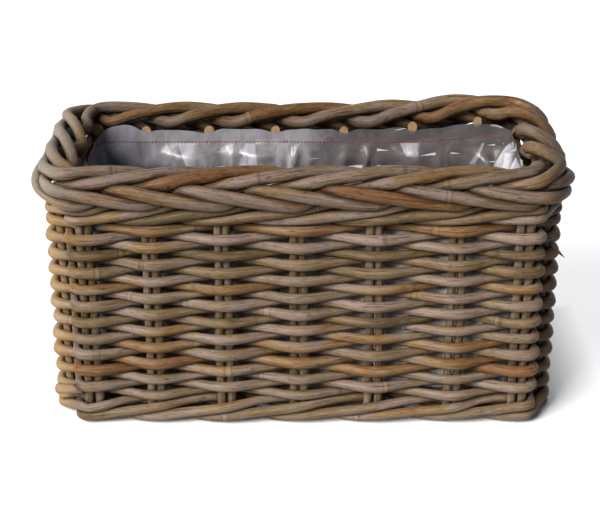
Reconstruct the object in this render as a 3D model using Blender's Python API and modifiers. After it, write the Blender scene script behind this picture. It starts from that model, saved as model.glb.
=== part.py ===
"""Rectangular rattan planter: paired stakes, woven sides, a rolled border and a film liner.

Metres, +Z up. The front faces -Y, and the origin is the middle of the footprint on the floor.
Run it with blender --background --python part.py, or from the text editor.
"""
import math

import bmesh
import bpy
from mathutils import Vector

# Driving sizes. Height is over all; the plan sizes run between stake centres, just below the border.
HEIGHT = 0.207
PLAN_LENGTH = 0.368
PLAN_DEPTH = 0.166
WALL_LEAN = 0.0015
STAKE_DIAMETER = 0.0056
PAIR_GAP = 0.0011
WEAVER_DIAMETER = 0.0075
WALE_DIAMETER = 0.0061
BASE_WEAVER_DIAMETER = 0.0050
BORDER_DIAMETER = 0.0064
BORDER_PITCH = 0.0073
CORNER_RADIUS = 0.0200
WALE_TUCK = 0.0020
COURSE_TUCK = 0.0110
STAKE_BEND_RADIUS = 0.0065
LINER_FILM = 0.0008
LINER_CORNER_RADIUS = 0.0150
LINER_CORNER_STEPS = 3
LINER_HEM = 0.0110
THREAD_DIAMETER = 0.0010
CLEARANCE = 0.0003
WEAVE_SLACK = 0.0012

# Where the stake pairs stand along each wall, as shares of its half length.
FRONT_PAIR_SHARES = (-0.885, -0.620, -0.326, -0.016, 0.297, 0.631, 0.905)
SIDE_PAIR_SHARES = (-0.69, 0.0, 0.69)

# One border strand: pair spacings run since its stake, then its place out from the stake
# line and up from the border's foot, both as shares of the border pitch.
BORDER_STRAND_SHARES = (
    (0.15, 0.05, 0.25), (0.45, 0.37, 1.02), (0.75, 0.83, 1.75), (1.15, 1.44, 2.46),
    (1.60, 1.11, 3.00), (2.10, 0.00, 3.02), (2.60, -1.04, 2.50), (2.95, -1.39, 1.87),
    (3.20, -0.56, 1.70), (3.45, 1.18, 1.82), (3.75, 2.03, 1.69), (4.30, 2.08, 0.90),
    (4.90, 1.75, 0.22), (5.20, 1.35, -0.14), (5.46, 0.21, -0.24), (5.72, -1.32, 0.55),
)
UPRIGHT_LEADS_SHARE = 0.8
EVENED_ABOVE_SHARE = 1.5
EVENED_PAIR_COUNT = 2

# Where a wale rod changes height, as shares of the gap between two pairs.
WALE_OUT_SHARES = (0.16, 0.30, 0.42, 0.60)
WALE_RISE_SHARES = (0.30, 0.65)
WALE_IN_SHARES = (0.30, 0.60)
CORNER_STEP = 0.04

# A six-sided rod lies with a flat below and above, so it is this much lower than wide.
HEX_HEIGHT_SHARE = math.cos(math.radians(30))

STAKE_RADIUS = STAKE_DIAMETER / 2
WEAVER_RADIUS = WEAVER_DIAMETER / 2
WALE_RADIUS = WALE_DIAMETER / 2
BASE_WEAVER_RADIUS = BASE_WEAVER_DIAMETER / 2
BORDER_RADIUS = BORDER_DIAMETER / 2
STAKE_SHIFT = (STAKE_DIAMETER + PAIR_GAP) / 2
WALE_PITCH = WALE_DIAMETER * HEX_HEIGHT_SHARE + CLEARANCE

# Heights of the foot, each stacked on the one before.
BASE_SWING = STAKE_DIAMETER + CLEARANCE + WEAVE_SLACK
BASE_LEVEL = BASE_SWING + STAKE_RADIUS * HEX_HEIGHT_SHARE
FOOT_WALE_LOW = BASE_LEVEL - STAKE_RADIUS
FOOT_WALE_HIGH = FOOT_WALE_LOW + WALE_PITCH + WEAVE_SLACK
FOOT_WALE_BEHIND = BASE_LEVEL + STAKE_RADIUS + WALE_RADIUS + CLEARANCE + 2 * WEAVE_SLACK

# Heights of the rim, each stacked down from the one above.
STRAND_UPS = [up * BORDER_PITCH for _, _, up in BORDER_STRAND_SHARES]
BORDER_LEVEL = HEIGHT - BORDER_RADIUS * HEX_HEIGHT_SHARE - max(STRAND_UPS)
BORDER_FOOT = BORDER_LEVEL + min(STRAND_UPS) - BORDER_RADIUS
TOP_WALE_HIGH = BORDER_FOOT - WALE_PITCH / 2 - CLEARANCE
TOP_WALE_LOW = TOP_WALE_HIGH - WALE_PITCH - WEAVE_SLACK

# Between them stand as many courses as the weavers' thickness allows, evenly spread.
WOVEN_HEIGHT = TOP_WALE_LOW - FOOT_WALE_BEHIND - WALE_PITCH
COURSES = int(WOVEN_HEIGHT / (WEAVER_DIAMETER * HEX_HEIGHT_SHARE + CLEARANCE))
WEAVER_PITCH = WOVEN_HEIGHT / COURSES
FIRST_COURSE = FOOT_WALE_BEHIND + (WALE_PITCH + WEAVER_PITCH) / 2

COLOURS = {
    "stake": (0.19, 0.145, 0.095),
    "weaver": (0.24, 0.18, 0.115),
    "wale": (0.25, 0.19, 0.13),
    "floor_rod": (0.20, 0.155, 0.105),
    "liner": (0.62, 0.63, 0.66),
    "thread": (0.22, 0.03, 0.04),
}


def clear_scene():
    for old in list(bpy.data.objects):
        bpy.data.objects.remove(old, do_unlink=True)


def make_material(name, kind):
    material = bpy.data.materials.new(name)
    material.use_nodes = True
    shader = material.node_tree.nodes["Principled BSDF"]
    shader.inputs["Base Color"].default_value = (*COLOURS[kind], 1.0)
    shader.inputs["Roughness"].default_value = 0.25 if kind == "liner" else 0.7
    shader.inputs["Metallic"].default_value = 0.0
    return material


def add_rod(name, points, radii, kind):
    """A rod: a bevelled poly curve through the points, with a flat side down where it lies level."""
    data = bpy.data.curves.new(name, "CURVE")
    data.dimensions = "3D"
    data.twist_mode = "Z_UP"
    data.bevel_depth = 1.0
    data.bevel_resolution = 1
    data.use_fill_caps = True
    line = data.splines.new("POLY")
    line.points.add(len(points) - 1)
    for spot, place, radius in zip(line.points, points, radii):
        spot.co = (*place, 1.0)
        spot.radius = radius
    rod = bpy.data.objects.new(name, data)
    data.materials.append(make_material(name, kind))
    PLANTER.objects.link(rod)
    return rod


def interpolate(table, value):
    """Straight-line reading of a table of (place, reading) rows."""
    for (a, low), (b, high) in zip(table, table[1:]):
        if value <= b:
            share = max(0.0, (value - a) / (b - a))
            return low + (high - low) * share
    return table[-1][1]


# Stake pairs, counterclockwise seen from above, from the front left corner.

def pair_list():
    """Each pair's wall and share: (outward x, outward y, share along x, share along y)."""
    front = [(0, -1, share, -1.0) for share in FRONT_PAIR_SHARES]
    right = [(1, 0, 1.0, share) for share in SIDE_PAIR_SHARES]
    back = [(0, 1, share, 1.0) for share in reversed(FRONT_PAIR_SHARES)]
    left = [(-1, 0, -1.0, share) for share in reversed(SIDE_PAIR_SHARES)]
    return front + right + back + left


PAIRS = pair_list()
PAIR_COUNT = len(PAIRS)
FRONTS = len(FRONT_PAIR_SHARES)
SIDES = len(SIDE_PAIR_SHARES)
FIRST_BACK = FRONTS + SIDES
CORNER_PAIRS = (0, FRONTS - 1, FRONTS, FIRST_BACK - 1, FIRST_BACK,
                FIRST_BACK + FRONTS - 1, FIRST_BACK + FRONTS, PAIR_COUNT - 1)


def plan_half(z):
    """Half length and half depth between stake centres at a height."""
    drop = WALL_LEAN * (BORDER_LEVEL - z) / BORDER_LEVEL
    return PLAN_LENGTH / 2 - drop, PLAN_DEPTH / 2 - drop


def pair_centre(pair, z):
    half_x, half_y = plan_half(z)
    _, _, share_x, share_y = PAIRS[pair % PAIR_COUNT]
    return Vector((share_x * half_x, share_y * half_y, z))


def outward(pair):
    return Vector((*PAIRS[pair % PAIR_COUNT][:2], 0.0))


def along(pair):
    """Direction of travel at a pair: the outward direction turned left."""
    out = outward(pair)
    return Vector((-out.y, out.x, 0.0))


def stake_place(pair, lead, z):
    """A stake's centre; lead is 1 for the stake that travel reaches last, -1 for the first."""
    return pair_centre(pair, z) + along(pair) * (lead * STAKE_SHIFT)


# Weaving round pegs: a rod's path as straight runs that touch circles round the stakes.

def pegs_of_pair(pair, z, reach):
    """Circles that a rod keeps outside of: one for a pair on a wall, two next to a corner."""
    if pair % PAIR_COUNT in CORNER_PAIRS:
        return [(stake_place(pair, lead, z), reach, pair + lead * CORNER_STEP) for lead in (-1, 1)]
    return [(pair_centre(pair, z), reach + WEAVE_SLACK, pair)]


def corner_after(pair, z, tuck):
    """Where the weave cuts the corner that follows a pair, or None along a wall."""
    side = outward(pair) + outward(pair + 1)
    if not side.x or not side.y:
        return None
    half_x, half_y = plan_half(z)
    reach = Vector((half_x - tuck, half_y - tuck, 0.0))
    return Vector((math.copysign(reach.x, side.x), math.copysign(reach.y, side.y), 0.0))


def heading(angle):
    return Vector((math.cos(angle), math.sin(angle), 0.0))


def right_of(angle):
    return Vector((math.sin(angle), -math.cos(angle), 0.0))


def wrap(spot, signed, before, after):
    """Corner points of the path where it turns round one peg."""
    turn = (after - before + math.pi) % (2 * math.pi) - math.pi
    steps = 2 if abs(turn) > math.radians(50) else 1
    part = turn / steps
    points = []
    for step in range(steps):
        middle = before + part * (step + 0.5)
        points.append(spot + right_of(middle) * (signed / math.cos(part / 2)))
    return points


def weave(first, last, side_of, levels, rod_radius, tuck):
    """Points of a rod from behind pair first to behind pair last, drawn in at corners by the tuck.

    side_of(pair) is 1 outside and -1 inside. Levels is a table of (place, height) rows, and
    place counts pairs; a row between two pairs gets a point of its own.
    """
    reach = STAKE_RADIUS + rod_radius + CLEARANCE
    pegs = []
    for pair in range(first, last + 1):
        for spot, radius, place in pegs_of_pair(pair, interpolate(levels, pair), reach):
            pegs.append((spot.xy.to_3d(), side_of(pair) * radius, place))
        corner = corner_after(pair, interpolate(levels, pair), tuck)
        if corner and pair < last:
            signed = (side_of(pair) + side_of(pair + 1)) / 2 * reach
            pegs.append((corner, signed, pair + 1 / 2))
    angles = []
    for (spot, signed, _), (spot_next, signed_next, _) in zip(pegs, pegs[1:]):
        step = spot_next - spot
        angles.append(math.atan2(step.y, step.x) + math.asin((signed - signed_next) / step.length))
    path = []
    for index, (spot, signed, place) in enumerate(pegs):
        before = angles[max(index - 1, 0)]
        after = angles[min(index, len(angles) - 1)]
        path += [(point, place) for point in wrap(spot, signed, before, after)]
    points = []
    for (point, place), (point_next, place_next) in zip(path, path[1:]):
        points.append(point + Vector((0, 0, interpolate(levels, place))))
        for stop, height in levels:
            if place < stop < place_next and place_next - place > 2 * CORNER_STEP:
                share = (stop - place) / (place_next - place)
                points.append(point.lerp(point_next, share) + Vector((0, 0, height)))
    points.append(path[-1][0] + Vector((0, 0, interpolate(levels, path[-1][1]))))
    return trimmed(points)


def trimmed(points):
    """Draws both ends back by half the clearance, so that butting ends stay apart."""
    points = list(points)
    for end, inner in ((0, 1), (-1, -2)):
        step = (points[inner] - points[end]).normalized()
        points[end] = points[end] + step * (CLEARANCE / 2)
    return points


def add_courses():
    """Single rods, each outside one pair and inside the next, ends butting inside at the back."""
    backs = [FIRST_BACK + 1 + step for step in range(FRONTS - 2)]
    for course in range(COURSES):
        level = FIRST_COURSE + course * WEAVER_PITCH
        choices = [pair for pair in backs if pair % 2 == course % 2]
        start = choices[(course // 2) % len(choices)]
        points = weave(
            start, start + PAIR_COUNT,
            lambda pair, start=start: -1 if (pair - start) % 2 == 0 else 1,
            ((start, level), (start + PAIR_COUNT, level)), WEAVER_RADIUS, COURSE_TUCK)
        add_rod(f"weaver_{course + 1:02d}", points, [WEAVER_RADIUS] * len(points), "weaver")


def wale_levels(first, last, low, high, behind):
    """Heights of one wale rod: level behind a pair, out low, then up in front and in high."""
    over = max(high, behind)
    under = over - WALE_PITCH - WEAVE_SLACK
    rows = []
    for pair in range(first, last + 1):
        state = (pair - first) % 3
        shares = (WALE_OUT_SHARES, WALE_RISE_SHARES, WALE_IN_SHARES)[state]
        part = under + (behind - under) / 3
        heights = ((behind, part, under, low), (low, high), (over, over))[state]
        rows.append((pair, (behind, low, high)[state]))
        rows += [(pair + share, height) for share, height in zip(shares, heights)]
    kept = [row for before, row, after in zip(rows, rows[1:], rows[2:])
            if not before[1] == row[1] == after[1]]
    return rows[:1] + kept + rows[-1:]


def add_wale(name, start, low, high, behind):
    """Three rods, each outside two pairs and inside the third, climbing as it goes."""
    for rod in range(3):
        first = start + rod
        last = first + PAIR_COUNT + (1 if rod < 2 else -2)
        points = weave(
            first, last,
            lambda pair, first=first: -1 if (pair - first) % 3 == 0 else 1,
            wale_levels(first, last, low, high, behind), WALE_RADIUS, WALE_TUCK)
        add_rod(f"{name}_{rod + 1}", points, [WALE_RADIUS] * len(points), "wale")


# The border's path round the top, with rounded corners.

def round_path():
    """Straights and corner arcs of the border line: (start, length, point, angle, turn)."""
    half_x, half_y = plan_half(BORDER_LEVEL)
    radius = CORNER_RADIUS
    straight = (2 * (half_x - radius), 2 * (half_y - radius))
    corner = radius * math.pi / 2
    pieces = []
    place = 0.0
    point = Vector((-half_x + radius, -half_y, 0.0))
    angle = 0.0
    for wall in range(4):
        length = straight[wall % 2]
        pieces.append((place, length, point.copy(), angle, 0.0))
        point = point + heading(angle) * length
        place += length
        pieces.append((place, corner, point.copy(), angle, 1.0))
        centre = point - right_of(angle) * radius
        angle += math.pi / 2
        point = centre + right_of(angle) * radius
        place += corner
    return pieces, place


ROUND, ROUND_LENGTH = round_path()


def on_round(place):
    """Point and direction angle at a place along the border line."""
    place = place % ROUND_LENGTH
    for start, length, point, angle, turn in ROUND:
        if place <= start + length:
            run = place - start
            if not turn:
                return point + heading(angle) * run, angle
            swung = run / CORNER_RADIUS
            centre = point - right_of(angle) * CORNER_RADIUS
            return centre + right_of(angle + swung) * CORNER_RADIUS, angle + swung
    return ROUND[0][2], 0.0


def place_of_pair(pair):
    """Where a pair stands along the border line."""
    lap, pair = divmod(pair, PAIR_COUNT)
    centre = pair_centre(pair, BORDER_LEVEL)
    half_x, half_y = plan_half(BORDER_LEVEL)
    radius = CORNER_RADIUS
    wall = (pair >= FRONTS) + (pair >= FIRST_BACK) + (pair >= FIRST_BACK + FRONTS)
    shifts = (centre.x + half_x, centre.y + half_y, half_x - centre.x, half_y - centre.y)
    run = shifts[wall] - radius
    start, length = ROUND[2 * wall][:2]
    if run < 0:
        run = run * (math.pi / 4)
    if run > length:
        run = length + (run - length) * (math.pi / 4)
    return lap * ROUND_LENGTH + start + run


def place_between(place, reach):
    """Border place for a count of pairs, with the steps evened out over some pairs each way."""
    def evened(pair):
        steps = range(-reach, reach + 1)
        return sum(place_of_pair(pair + step) for step in steps) / len(steps)
    low = math.floor(place)
    return evened(low) + (evened(low + 1) - evened(low)) * (place - low)


def border_point(pair, run, out, up):
    """A point of the strand that starts at a pair, a number of pair spacings further on."""
    low = max(0.0, 1.0 - max(0.0, up) / (EVENED_ABOVE_SHARE * BORDER_PITCH))
    real = place_between(pair + run, 0)
    place = place_between(pair + run, EVENED_PAIR_COUNT)
    place += low * (real - place)
    place += max(0.0, 1.0 - run / UPRIGHT_LEADS_SHARE) * STAKE_SHIFT
    point, angle = on_round(place)
    return point + right_of(angle) * out + Vector((0, 0, BORDER_LEVEL + up))


def border_strand(pair):
    return [border_point(pair, run, out * BORDER_PITCH, up * BORDER_PITCH)
            for run, out, up in BORDER_STRAND_SHARES]


# Stakes: each rod runs down one wall, under the base and up the opposite wall.

def bend(pair, lead):
    """The turn from upright to base, from the top down."""
    top = BASE_LEVEL + STAKE_BEND_RADIUS
    foot = stake_place(pair, lead, BASE_LEVEL)
    out = outward(pair)
    points = []
    for degrees in (0, 45, 90):
        angle = math.radians(degrees)
        back = STAKE_BEND_RADIUS * (1 - math.cos(angle))
        down = STAKE_BEND_RADIUS * math.sin(angle)
        points.append(foot.xy.to_3d() - out * back + Vector((0, 0, top - down)))
    return points


def under_and_over(start, end):
    """Places where a lengthwise rod dips under or climbs over the stakes that cross it."""
    half_x, _ = plan_half(BASE_LEVEL)
    points = []
    for index, share in enumerate(FRONT_PAIR_SHARES):
        rise = -BASE_SWING if index % 2 == 0 else BASE_SWING
        for side in (-1, 1):
            x = share * half_x + side * STAKE_SHIFT
            points.append(Vector((x, start.y, BASE_LEVEL + rise)))
    return points if start.x < end.x else points[::-1]


def add_stake(name, plain_pair, plain_lead, border_pair, woven):
    """A stake with one plain end under the border and one end that runs on as a border strand."""
    plain = bend(plain_pair, plain_lead)
    carried = bend(border_pair, 1)[::-1]
    middle = under_and_over(plain[-1], carried[0]) if woven else []
    points = [stake_place(plain_pair, plain_lead, BORDER_LEVEL)] + plain + middle + carried
    radii = [STAKE_RADIUS] * len(points)
    points.append(stake_place(border_pair, 1, BORDER_LEVEL - BORDER_RADIUS))
    radii.append(STAKE_RADIUS)
    strand = border_strand(border_pair)
    points += strand
    radii += [(STAKE_RADIUS + BORDER_RADIUS) / 2] + [BORDER_RADIUS] * (len(strand) - 1)
    return add_rod(name, points, radii, "stake")


def add_stakes():
    for index in range(FRONTS):
        front = index
        back = FIRST_BACK + FRONTS - 1 - index
        add_stake(f"cross_stake_{index + 1}_right", back, -1, front, False)
        add_stake(f"cross_stake_{index + 1}_left", front, -1, back, False)
    for index in range(SIDES):
        right = FRONTS + index
        left = PAIR_COUNT - 1 - index
        add_stake(f"long_stake_{index + 1}_back", left, -1, right, True)
        add_stake(f"long_stake_{index + 1}_front", right, -1, left, True)


# Base weavers: rods that run to and fro between the lengthwise stakes.

def base_weaver_swing():
    """Rise over a pair's middle, so that the slope down from it just clears the pair's stakes."""
    half_x, _ = plan_half(BASE_LEVEL)
    steps = [after - before for before, after in zip(FRONT_PAIR_SHARES, FRONT_PAIR_SHARES[1:])]
    slope_share = 2 * (STAKE_SHIFT + STAKE_RADIUS / 2) / (min(steps) * half_x)
    touching = (STAKE_RADIUS + BASE_WEAVER_RADIUS) * HEX_HEIGHT_SHARE + CLEARANCE
    return touching / (1 - slope_share)


def base_run(y, direction, over_first):
    """One lengthwise run over and under the crossing stakes, short of the outer pairs."""
    half_x, _ = plan_half(BASE_LEVEL)
    swing = base_weaver_swing()
    beside = STAKE_SHIFT + STAKE_RADIUS + BASE_WEAVER_RADIUS + CLEARANCE
    points = [Vector((FRONT_PAIR_SHARES[0] * half_x + beside, y, BASE_LEVEL))]
    for index in range(1, FRONTS - 1):
        rise = swing if (index % 2 == 0) == over_first else -swing
        points.append(Vector((FRONT_PAIR_SHARES[index] * half_x, y, BASE_LEVEL + rise)))
    points.append(Vector((FRONT_PAIR_SHARES[-1] * half_x - beside, y, BASE_LEVEL)))
    return points if direction > 0 else points[::-1]


def add_base_weaver(name, low_y, high_y, runs):
    points = []
    pitch = (high_y - low_y) / runs
    for run in range(runs):
        y = low_y + pitch * (run + 0.5)
        direction = 1 if run % 2 == 0 else -1
        points += base_run(y, direction, run % 2 == 0)
    add_rod(name, points, [BASE_WEAVER_RADIUS] * len(points), "floor_rod")


def add_base_weavers():
    _, half_y = plan_half(BASE_LEVEL)
    beside = STAKE_SHIFT + STAKE_RADIUS + CLEARANCE
    rows = [share * half_y for share in SIDE_PAIR_SHARES]
    for index, (low, high) in enumerate(zip(rows, rows[1:])):
        free = high - low - 2 * beside
        runs = int(free / (BASE_WEAVER_DIAMETER + 2 * WEAVE_SLACK))
        runs -= 1 - runs % 2
        add_base_weaver(f"base_weaver_{index + 2}", low + beside, high - beside, runs)
    edge = BASE_WEAVER_DIAMETER + 2 * WEAVE_SLACK
    add_base_weaver("base_weaver_1", rows[0] - beside - edge, rows[0] - beside, 1)
    add_base_weaver(f"base_weaver_{SIDES + 1}", rows[-1] + beside, rows[-1] + beside + edge, 1)


# Liner: an open film pouch inside the weave, with a line of thread below its hem.

INSIDE_REACH = STAKE_RADIUS + WEAVER_DIAMETER + 2 * (CLEARANCE + WEAVE_SLACK)
LINER_FLOOR = BASE_LEVEL + BASE_SWING + STAKE_RADIUS + CLEARANCE
LINER_TOP = BORDER_LEVEL + STRAND_UPS[-1] - BORDER_RADIUS - CLEARANCE


def inside_half(z, inset):
    """Half length and half depth of a level that stands inside the weave by an inset."""
    half_x, half_y = plan_half(z)
    return half_x - INSIDE_REACH - inset, half_y - INSIDE_REACH - inset


def add_liner():
    """A box without its lid, its uprights rounded, thickened inward to the film."""
    shape = bmesh.new()
    bmesh.ops.create_cube(shape, size=2.0)
    lid = [face for face in shape.faces if face.calc_center_median().z > 1 / 2]
    bmesh.ops.delete(shape, geom=lid, context="FACES_ONLY")
    for vert in shape.verts:
        z = LINER_TOP if vert.co.z > 0 else LINER_FLOOR
        half_x, half_y = inside_half(z, 0.0)
        vert.co = (vert.co.x * half_x, vert.co.y * half_y, z)
    uprights = [edge for edge in shape.edges if abs(edge.verts[0].co.z - edge.verts[1].co.z) > LINER_HEM]
    bmesh.ops.bevel(shape, geom=uprights, offset=LINER_CORNER_RADIUS, offset_type="OFFSET",
                    segments=LINER_CORNER_STEPS, profile=0.5, affect="EDGES")
    mesh = bpy.data.meshes.new("liner")
    shape.to_mesh(mesh)
    shape.free()
    mesh.materials.append(make_material("liner", "liner"))
    liner = bpy.data.objects.new("liner", mesh)
    PLANTER.objects.link(liner)
    film = liner.modifiers.new("film", "SOLIDIFY")
    film.thickness = LINER_FILM
    film.offset = -1.0
    film.use_even_offset = True


def add_thread():
    """The line of stitches below the hem, one turn round the film's inner face."""
    level = LINER_TOP - LINER_HEM
    inset = LINER_FILM + THREAD_DIAMETER / 2 + CLEARANCE
    half_x, half_y = inside_half(level, inset)
    radius = LINER_CORNER_RADIUS
    points = []
    for corner, (side_x, side_y) in enumerate(((1, 1), (-1, 1), (-1, -1), (1, -1))):
        centre = Vector((side_x * (half_x - radius), side_y * (half_y - radius), level))
        for step in range(LINER_CORNER_STEPS + 1):
            angle = math.pi / 2 * (corner + step / LINER_CORNER_STEPS)
            points.append(centre + heading(angle) * radius)
    gap = (points[0] - points[-1]).normalized() * THREAD_DIAMETER
    points.append(points[0] - gap)
    add_rod("liner_thread", points, [THREAD_DIAMETER / 2] * len(points), "thread")


clear_scene()
PLANTER = bpy.data.collections.new("rattan_planter")
bpy.context.scene.collection.children.link(PLANTER)
add_stakes()
add_base_weavers()
add_wale("foot_wale", FIRST_BACK + 1, FOOT_WALE_LOW, FOOT_WALE_HIGH, FOOT_WALE_BEHIND)
add_courses()
add_wale("top_wale", FIRST_BACK + 3, TOP_WALE_LOW, TOP_WALE_HIGH, (TOP_WALE_LOW + TOP_WALE_HIGH) / 2)
add_liner()
add_thread()
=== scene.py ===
"""Looks of the rattan planter: round, worn canes woven, waled and bordered, with a film liner."""
import math
import random

import bmesh
import bpy
import numpy as np
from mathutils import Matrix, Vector, kdtree, noise


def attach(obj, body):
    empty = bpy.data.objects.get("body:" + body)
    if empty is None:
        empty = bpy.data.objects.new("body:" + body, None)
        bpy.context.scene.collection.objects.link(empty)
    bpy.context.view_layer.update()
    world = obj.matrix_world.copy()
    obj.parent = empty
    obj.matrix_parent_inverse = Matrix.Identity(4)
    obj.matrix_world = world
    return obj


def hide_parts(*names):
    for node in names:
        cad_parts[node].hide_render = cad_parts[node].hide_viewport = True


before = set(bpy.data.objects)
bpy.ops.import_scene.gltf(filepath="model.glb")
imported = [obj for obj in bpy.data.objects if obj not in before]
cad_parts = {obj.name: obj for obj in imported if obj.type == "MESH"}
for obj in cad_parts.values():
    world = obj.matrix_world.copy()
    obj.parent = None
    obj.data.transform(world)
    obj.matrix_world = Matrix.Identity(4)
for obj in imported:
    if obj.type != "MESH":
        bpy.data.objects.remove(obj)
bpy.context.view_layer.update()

# Plan, in metres, as in the part. A pair's stakes stand SHIFT to either side, a little more than there.
LENGTH, DEPTH, LEAN = 0.368, 0.166, 0.0015
STAKE_R, SHIFT = 0.0030, 0.0039
FRONT = (-0.885, -0.620, -0.326, -0.016, 0.297, 0.631, 0.905)
SIDE = (-0.69, 0.0, 0.69)
BASE, SWING, BEND = 0.00952, 0.0071, 0.0065
PITCH, CORNER, BORDER_Z = 0.0073, 0.020, 0.1822
FIRST_COURSE, LAST_COURSE, COURSES = 0.0243, 0.1602, 21

# Rods as thick as they look, fuller than the part's, what a pinch leaves of one, and how tall some are.
WEAVER_R, WALE_R, STAKE_SKIN_R, BORDER_R, BASE_WEAVER_R = 0.0041, 0.0039, 0.0035, 0.0047, 0.0025
PINCHED_SHARE, COURSE_TALL, BACK_TALL, STRAND_TALL = 0.84, 1.04, 1.30, 1.08
# How far rods differ, as shares: how thick weavers and strands are, how far off a stake a rod runs.
WEAVER_SPREAD, STRAND_SPREAD, REACH_SPREAD = (0.93, 1.04), (0.94, 1.05), (-0.03, 0.05)
# How far a woven rod's height differs, how much further off it runs at a pair's middle, how far each
# stake is from there in pair spacings, and the widest turn of one point.
HEIGHT_SPREAD, MIDDLE_SLACK, LEAD_PLACE = (-0.0004, 0.0004), 0.0008, 0.06
TURN_STEP = math.radians(38)
# Tone of a stake below its strand, how far it differs, where it ends and how far it takes to change.
STAKE_TONE, STAKE_TONE_SPREAD, STAKE_TONE_TOP, STAKE_TONE_FADE = 0.36, 0.16, BORDER_Z - 0.002, 0.008

# Heights of a wale rod behind a pair, coming out, at the two pairs it passes, and going in.
FOOT_WALE = (0.0150, 0.0046, 0.0066, 0.0140, 0.0168)
TOP_WALE = (0.1722, 0.1665, 0.1692, 0.1765, 0.1782)

# A border strand: pair spacings run, then places out and up in pitches.
STRAND = (
    (0.15, 0.05, 0.25), (0.45, 0.42, 0.95), (0.75, 0.90, 1.58), (1.20, 1.46, 2.35),
    (1.70, 1.11, 2.90), (2.20, 0.00, 2.98), (2.68, -1.00, 2.50), (2.95, -1.25, 1.90),
    (3.14, -0.40, 1.70), (3.34, 1.18, 1.70), (3.65, 1.92, 1.50), (4.25, 2.08, 0.78),
    (4.80, 1.78, 0.16), (5.04, 1.20, -0.02), (5.22, 0.15, 0.22), (5.37, -1.45, 0.92),
)
# It leaves its stake over the first run, is full from the next, and is tallest between the last two.
STRAND_LEAVES, STRAND_FULL, TALL_FROM, TALL_TO = 0.8, 0.6, 0.9, 5.1
# Up to this many pitches it keeps to the pairs' own places, less and less, and above that to evened ones.
STRAND_LOW = 1.5
# Tone of the strand that starts at each pair, from dark olive at 0 to orange brown at 1.
STRAND_TONES = (0.97, 0.54, 0.60, 0.74, 0.42, 0.82, 0.58, 0.84, 0.90, 0.70,
                0.86, 0.93, 0.78, 0.88, 0.52, 0.80, 0.60, 0.92, 0.66, 0.56)
# How much the border at the back stands higher or lower than level, along its length.
BACK_RISE = ((-0.190, 0.0), (-0.150, -0.0030), (0.040, -0.0032), (0.100, 0.0002), (0.135, 0.0045),
             (0.160, 0.0042), (0.182, 0.0005))
# How much higher the wale stands there, and from which height to which the weave below takes that up.
BACK_WALE_RISE, RISE_Z = 0.0046, (0.085, 0.165)

NF, NS = len(FRONT), len(SIDE)
PAIRS = ([(0, -1, s, -1.0) for s in FRONT] + [(1, 0, 1.0, s) for s in SIDE]
         + [(0, 1, s, 1.0) for s in reversed(FRONT)] + [(-1, 0, -1.0, s) for s in reversed(SIDE)])
NP = len(PAIRS)
BACK = NF + NS
CORNERS = (0, NF - 1, NF, BACK - 1, BACK, BACK + NF - 1, BACK + NF, NP - 1)

# Rods are round tubes with this many sides and a row of points this often along them.
SIDES, ROW_STEP = 12, 0.003
# How uneven they are: bends a metre, then changes of thickness, as shares, with how many a metre.
BENDS, UNEVEN_SLOW, UNEVEN_FAST = 22, (0.05, 26), (0.025, 90)
# Growth rings: the first one's furthest place, the spacing, the width and how much they swell.
FIRST_RING, RING_EVERY, RING_WIDTH, RING_SWELL = 0.20, (0.12, 0.30), 0.0024, 0.05
RING_STRENGTH = (0.3, 1.0)
# Lobes of the section, as share and number, and the lowest that any rod lies.
LOBES, LOWEST = ((0.02, 3), (0.012, 5)), 0.0001
# Painted shade and dirt between rods: how far it is looked for, and how wide it lies.
CREASE_SEARCH, CREASE_WIDTH = 0.013, 0.0022
# Base weavers: how far they swing up and down, how far off the stakes they turn, and their gaps.
BASE_RISE, BASE_CLEARANCE, BASE_GAP = 0.0061, 0.0003, 0.0024

# Liner film: how far inside the stake line it hangs, its edge, floor, hem and flat cut.
FILM_INSIDE, FILM_CORNER = 0.0134, 0.016
FILM_TOP, FILM_FLOOR, HEM_LINE = 0.1888, 0.0204, 0.1778
# Spacing of its points on the wall and of rings on its floor, and the floor's waves and haze.
FILM_STEP, FILM_RING_STEP, FLOOR_WAVE, FLOOR_HAZE = 0.0025, 0.006, 0.0012, 0.15
# Stitches: spacing, thickness and rise above the hem's line, then three points of each one, as share
# of the spacing, how far in, and share of the thickness.
STITCH_PITCH, STITCH_R, STITCH_RISE = 0.0030, 0.00040, 0.0003
STITCH = ((0.14, 0.0002, 0.55), (0.5, 0.0007, 1.0), (0.86, 0.0002, 0.55))
# The hem's line climbs towards the right end: by how much and where.
HEM_CLIMB, HEM_CLIMB_X = 0.0045, (0.09, 0.15)
# A spot lies on a wall of the film beyond this share of the way out to it.
WALL_SHARE = 0.9
# Folds on the back wall: middle, width, from height, to height, how far they stand in, haze.
BACK_FOLDS = (
    (-0.097, 0.017, 0.125, 0.176, 0.009, 0.55), (-0.038, 0.021, 0.120, 0.177, 0.010, 0.55),
    (-0.004, 0.003, 0.120, 0.176, 0.004, 0.60), (0.055, 0.003, 0.120, 0.176, 0.004, 0.55),
    (0.090, 0.011, 0.145, 0.177, 0.006, 0.50), (0.148, 0.005, 0.120, 0.172, 0.006, 0.55),
)
# How far they fade over at the top and the foot, how far they lean, and the depth past which they lean
# to the right on the way down.
FOLD_FADE_TOP, FOLD_FADE_FOOT, FOLD_LEAN, FOLD_RIGHT = 0.008, 0.02, 0.25, 0.005
# The right end's fold: its middle, how it widens below the film's edge, its width there, how far it
# stands in, and how steeply it and its haze build up.
END_FOLD = (0.030, 0.8, 0.002, 0.010, 1.5, 2.6)
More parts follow.
